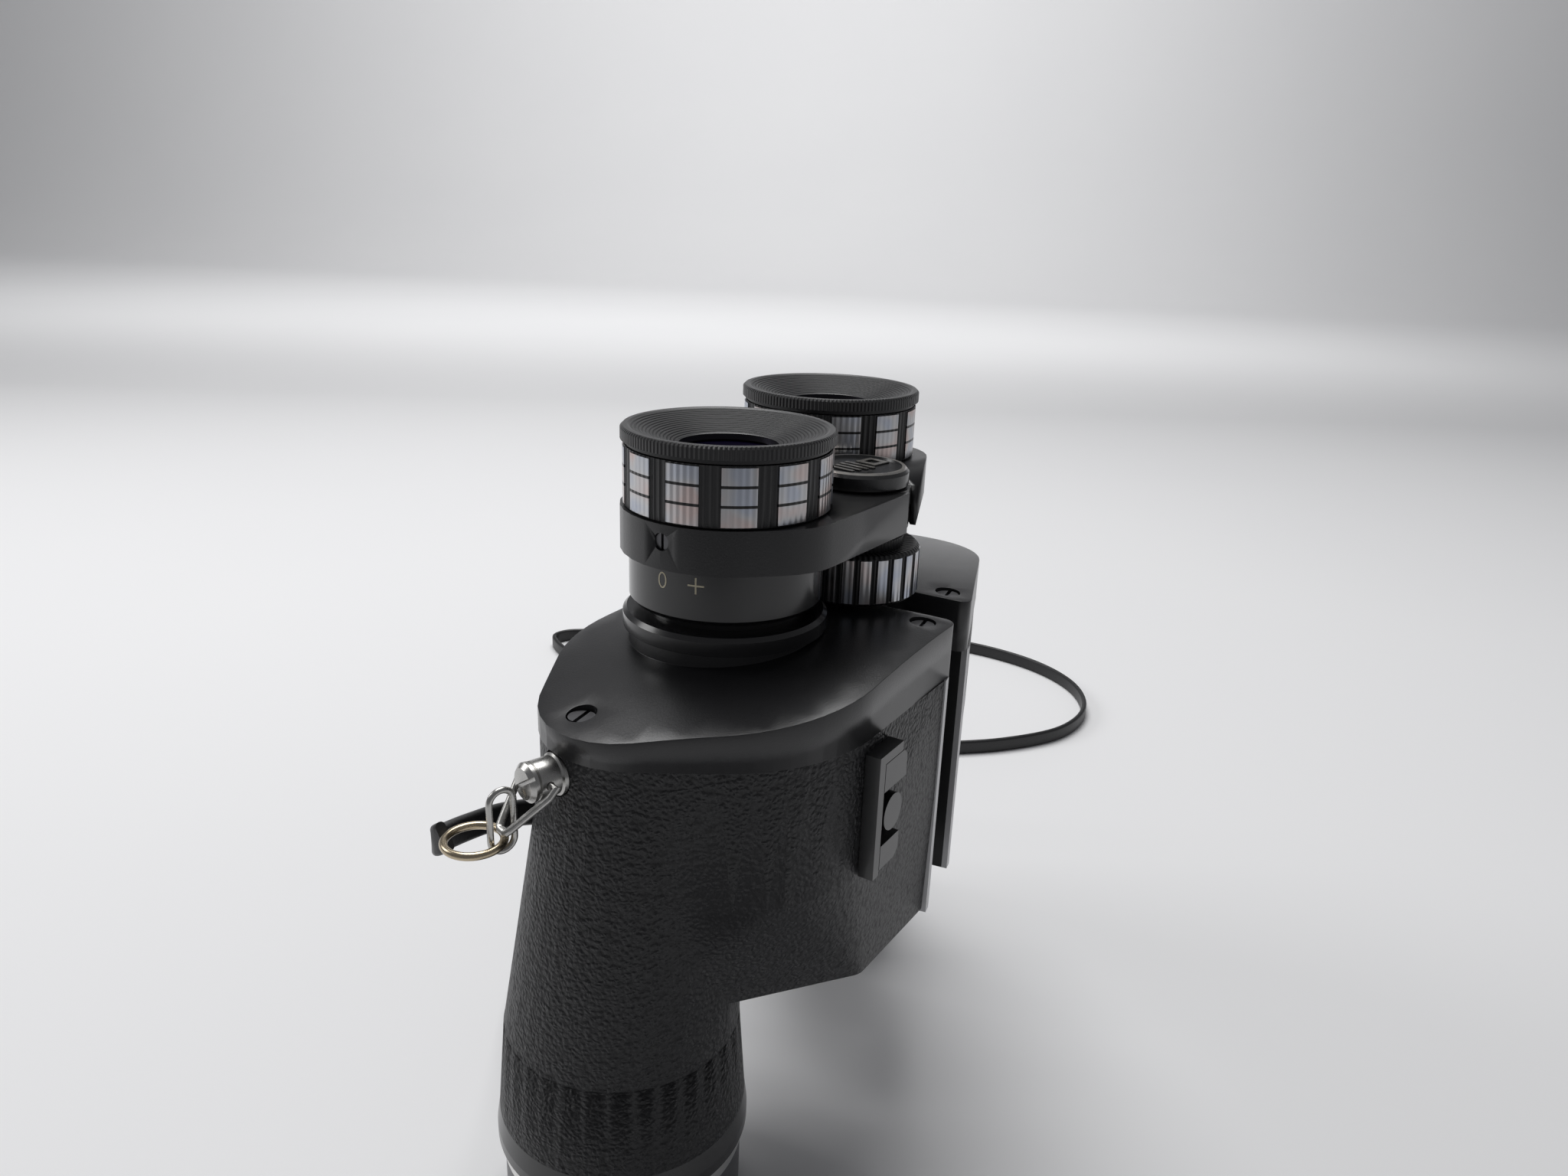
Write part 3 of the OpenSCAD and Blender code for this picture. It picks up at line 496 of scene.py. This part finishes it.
def metal_finish(name, color, roughness):
    """Plated or machined metal with fine scratches and tone."""
    f = Finish(name, color, roughness, metallic=1.0)
    tone = noise(f.tree, 900, 3, 0.6)
    f.vary("Roughness", tone, max(0.05, roughness - 0.06), roughness + 0.1)
    f.bump(tone, 0.00002, 0.5)
    return f.material


def glass_finish(name, color, coat=(0.5, 0.4, 0.9)):
    """Dark coated glass: what lies behind it is black inside the barrels."""
    f = Finish(name, color, 0.03, specular=0.8, coat=1.0, coat_roughness=0.02)
    f.set("Coat Tint", (*coat, 1))
    tone = noise(f.tree, 60, 1, 0.4)
    f.vary("Roughness", tone, 0.02, 0.05)
    return f.material


def strap_finish():
    """Smooth black strap with a fine, uneven grain."""
    f = Finish("strap_hide", (0.012, 0.012, 0.013), 0.42, specular=0.5)
    grain = f.group(GRAIN, Grain_per_metre=1500.0)
    f.bump(grain["Height"], 0.00012, 0.6)
    f.vary("Roughness", grain["Tone"], 0.36, 0.5)
    return f.material


# Radii of the cap's rim and of its relief, and how far down from the top the rim's painted highlight and
# the relief's bright metal reach
CAP_RIM = (0.0091, 0.0101)
CAP_RELIEF = 0.0086
RIM_HIGHLIGHT_DEPTH = 0.00045
RELIEF_BRIGHT_DEPTH = 0.00025


def cap_finish():
    """Black cap, with a painted highlight along its rim's edge and its raised relief coloured bright
    metal.
    """
    f = Finish("cap_black", (0.012, 0.012, 0.013), 0.28, specular=0.6, coat=0.3)
    turned = f.group(TURNED, Centre_X=HINGE.x, Centre_Y=HINGE.y)
    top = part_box("centre_cap")[1].z
    above = top + 0.001
    rim = mask_between(f.tree, turned["Radius"], *CAP_RIM)
    high = mask_between(f.tree, turned["Z"], top - RIM_HIGHLIGHT_DEPTH, above)
    middle = mask_between(f.tree, turned["Z"], top - RELIEF_BRIGHT_DEPTH, above)
    inner = mask_between(f.tree, turned["Radius"], -0.001, CAP_RELIEF)
    # Painted highlight along the top of the rim's edge; the top of the raised relief is coloured bright
    # metal
    rim_highlight = maths(f.tree, "MULTIPLY", rim, high)
    bright_relief = maths(f.tree, "MULTIPLY", inner, middle)
    bright_parts = maths(f.tree, "ADD", rim_highlight, bright_relief, clamp=True)
    f.vary("Base Color", bright_parts, (0.012, 0.012, 0.013), (0.55, 0.53, 0.5))
    f.vary("Metallic", bright_parts, 0.0, 1.0)
    f.vary("Roughness", noise(f.tree, 700, 2), 0.22, 0.38)
    return f.material


def mark_finish():
    f = Finish("mark_paint", (0.62, 0.56, 0.4), 0.5)
    tone = noise(f.tree, 2000, 2)
    f.vary("Base Color", tone, (0.5, 0.45, 0.32), (0.7, 0.64, 0.48))
    return f.material


pads_low, pads_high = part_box("zoom_pads_r")
# Heights of the two dark lines across each bright pad, and half their width
PAD_LINES = [pads_low.z + (pads_high.z - pads_low.z) * part for part in (0.35, 0.68)]
PAD_LINE_HALF = 0.0003
COVER = paint_finish()
# The height from which the housing's corner rail carries its painted highlight
RAIL_HIGHLIGHT_FOOT = 0.055
TUBE = satin_finish("anodised_black")
RIM = satin_finish("rim_black", 0.28)
LEATHERETTE = leatherette_finish()
GLOSS = satin_finish("moulded_black", 0.3)
PLATED = metal_finish("plated_nickel", (0.46, 0.455, 0.44), 0.26)
BRASS = metal_finish("worn_brass", (0.5, 0.42, 0.3), 0.24)
STEEL = metal_finish("blackened_steel", (0.12, 0.12, 0.125), 0.38)
CHROME = metal_finish("polished_trim", (0.76, 0.76, 0.74), 0.16)
FRONT = metal_finish("front_grey", (0.16, 0.16, 0.17), 0.42)
LENS = glass_finish("coated_lens", (0.012, 0.01, 0.02))
PRISM = glass_finish("prism_glass", (0.05, 0.055, 0.06), (0.9, 0.95, 1.0))
STRAP_HIDE = strap_finish()
MARK = mark_finish()

# Finishes of the solids that need no place of their own
PLAIN = {
    "covering": LEATHERETTE, "prism_cover": COVER, "cover_screws": STEEL, "guide_flange": TUBE,
    "prism_shelf": STEEL, "prisms": PRISM, "objective_cell": RIM, "objective_lens": LENS,
    "rim": RIM, "trim_ring": CHROME, "front_ring": FRONT, "strap_lug": PLATED, "badge": GLOSS,
    "bridge_arm": COVER, "arm_screw": STEEL, "eyepiece_tube": TUBE, "eye_lens": LENS,
    "zoom_cell_front": LENS, "zoom_cell_rear": LENS, "bail": PLATED, "link": PLATED,
    "strap_ring": BRASS, "hinge_axle": STEEL, "focus_shaft": STEEL, "strap": STRAP_HIDE,
    "strap_end": STRAP_HIDE,
}


def dress(obj, material):
    obj.data.materials.clear()
    obj.data.materials.append(material)


def dress_nodes():
    """Gives each solid its finish, and returns the finishes by node."""
    made = {}
    for name, obj in NODES.items():
        side = name[-2:] if name[-2:] in ("_r", "_l") else ""
        kind = name[:-2] if side else name
        if kind in PLAIN:
            dress(obj, PLAIN[kind])
        elif kind == "centre_cap":
            dress(obj, cap_finish())
        elif kind == "body":
            dress(obj, housing_finish(side))
        elif kind == "zoom_ring":
            dress(obj, ribbed_finish("zoom_grip" + side, side, 96.0))
        elif kind == "focus_wheel":
            dress(obj, ribbed_finish("focus_grip", side, 72.0))
        elif kind == "eyecup":
            dress(obj, eyecup_finish("eyecup_black" + side, side))
        elif kind == "zoom_pads":
            dress(obj, bright_finish("zoom_bright" + side, side, 96.0, PAD_LINES))
        elif kind == "wheel_stripes":
            dress(obj, bright_finish("focus_bright", side, 72.0))
        made[name] = obj.data.materials[0]
    return made


FINISH = dress_nodes()
for piece in STRAP.values():
    dress(piece, STRAP_HIDE)


# Copies of faceted solids, merged so that they shade smoothly

# How far below its highest point a prism cover's upper edges are eased, and by how much
EASED_DEPTH = 0.012
COVER_EDGE = 0.0011


def upper_edges(bm):
    """Edges between a nearly flat face and an upright one, near the top of the shape."""
    floor = max(v.co.z for v in bm.verts) - EASED_DEPTH
    edges = []
    for edge in bm.edges:
        if len(edge.link_faces) != 2 or min(v.co.z for v in edge.verts) <= floor:
            continue
        level, steep = sorted((abs(face.normal.z) for face in edge.link_faces), reverse=True)
        if level > 0.9 and steep < 0.2:
            edges.append(edge)
    return edges


def smooth_copy(node, body, angle=40, round_edge=0.0):
    """Stands for a CAD node: the same mesh, merged and shaded smooth, with its upper edges eased."""
    bm = bmesh.new()
    bm.from_mesh(NODES[node].data)
    bmesh.ops.remove_doubles(bm, verts=bm.verts, dist=2e-6)
    bmesh.ops.dissolve_limit(bm, angle_limit=math.radians(0.5), verts=bm.verts, edges=bm.edges)
    if round_edge:
        bmesh.ops.bevel(bm, geom=upper_edges(bm), offset=round_edge, segments=4, profile=0.5,
                        affect="EDGES", clamp_overlap=True)
    bmesh.ops.triangulate(bm, faces=bm.faces)
    piece = make_piece(node + "_shown", bm, angle)
    dress(piece, FINISH[node])
    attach(piece, body)
    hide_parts(node)
    return piece


for side, barrel in BARRELS.items():
    smooth_copy("covering" + side, barrel, 30)
    smooth_copy("prism_cover" + side, barrel, 50, COVER_EDGE)
smooth_copy("bridge_arm_r", "bridge", 50)
smooth_copy("bridge_arm_l", "left_arm", 50)


# Marks of the dioptre scale

def wrap_mark(bm, angle, z, radius, thick=0.00005):
    """Bends a flat mark, drawn in X and Y, round the right eyepiece tube."""
    x, y = CENTRES["_r"]
    for v in bm.verts:
        a = math.radians(angle) + v.co.x / radius
        r = radius + thick
        v.co = Vector((x + r * math.cos(a), y + r * math.sin(a), z + v.co.y))


# Where the two marks stand round the tube, in degrees
NOUGHT_AT = 166.3
PLUS_AT = 187.4


def make_marks(radius=0.0194, z=0.1383, high=0.0016, stroke=0.00032):
    """A thin nought and a thin plus, drawn flat and bent round the tube."""
    nought = bmesh.new()
    steps = 32
    turns = [2 * math.pi * k / steps for k in range(steps)]
    loops = []
    for r, wide in ((high, 0.62), (high - stroke, 0.62 * 0.86)):
        loops.append([nought.verts.new((wide * r * math.cos(a), r * math.sin(a), 0)) for a in turns])
    outer, inner = loops
    for k in range(steps):
        beside = (k + 1) % steps
        nought.faces.new((outer[k], outer[beside], inner[beside], inner[k]))
    wrap_mark(nought, NOUGHT_AT, z, radius)
    plus = bmesh.new()
    for wide, tall in ((high, stroke / 2), (stroke / 2, high)):
        made = bmesh.ops.create_grid(plus, x_segments=8, y_segments=8, size=1)["verts"]
        bmesh.ops.scale(plus, verts=made, vec=(wide, tall, 1))
    wrap_mark(plus, PLUS_AT, z, radius)
    for name, bm in (("mark_nought", nought), ("mark_plus", plus)):
        bmesh.ops.recalc_face_normals(bm, faces=bm.faces)
        piece = make_piece(name, bm)
        dress(piece, MARK)
        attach(piece, "right_eyepiece")


make_marks()


# Floor and light

WORLD_STRENGTH = 0.17
OBJECT_MIDDLE = (0, 0, 0.1)
# Name, place, aim, size in metres and power in watts
LIGHTS = [
    ("ceiling", (0.45, 0.3, 1.4), OBJECT_MIDDLE, 0.9, 15.5),
    ("window", (-0.2, 1.1, 0.75), OBJECT_MIDDLE, 0.5, 3.5),
    ("backdrop_wash", (1.7, 0.9, 1.7), (3.5, 1.7, 0.6), 2.6, 36),
]


def make_stage():
    """A white table that turns up into a pale backdrop in one curve."""
    bm = bmesh.new()
    start, reach, bend, rise, half_width = -0.45, 2.6, 0.9, 1.1, 6
    profile = [(start, 0.0), (reach, 0.0)]
    profile += [(reach + bend * math.sin(math.radians(a)), bend - bend * math.cos(math.radians(a)))
                for a in range(6, 91, 6)]
    profile.append((reach + bend, rise))
    turn = Matrix.Rotation(math.radians(CAMERA_TURN - 6), 3, "Z")
    rows = [[bm.verts.new(turn @ Vector((x, side, z))) for x, z in profile]
            for side in (-half_width, half_width)]
    for k in range(len(profile) - 1):
        bm.faces.new((rows[0][k], rows[0][k + 1], rows[1][k + 1], rows[1][k]))
    bmesh.ops.recalc_face_normals(bm, faces=bm.faces)
    table = make_piece("floor", bm, 60)
    f = Finish("paper", (0.86, 0.86, 0.87), 0.85, specular=0.2)
    tone = noise(f.tree, 3, 2)
    f.vary("Base Color", tone, (0.85, 0.85, 0.86), (0.88, 0.88, 0.885))
    dress(table, f.material)
    world = bpy.data.worlds.new("studio")
    bpy.context.scene.world = world
    world.use_nodes = True
    tree = world.node_tree
    tree.nodes["Background"].inputs["Strength"].default_value = WORLD_STRENGTH
    tree.nodes["Background"].inputs["Color"].default_value = (0.95, 0.96, 1, 1)


def area_light(name, place, aim, size, power):
    data = bpy.data.lights.new(name, "AREA")
    data.size = size
    data.energy = power
    lamp = link(bpy.data.objects.new(name, data))
    lamp.location = place
    lamp.rotation_euler = (Vector(aim) - Vector(place)).to_track_quat("-Z", "Y").to_euler()


make_stage()
for light in LIGHTS:
    area_light(*light)

bpy.context.scene.view_settings.view_transform = "Standard"
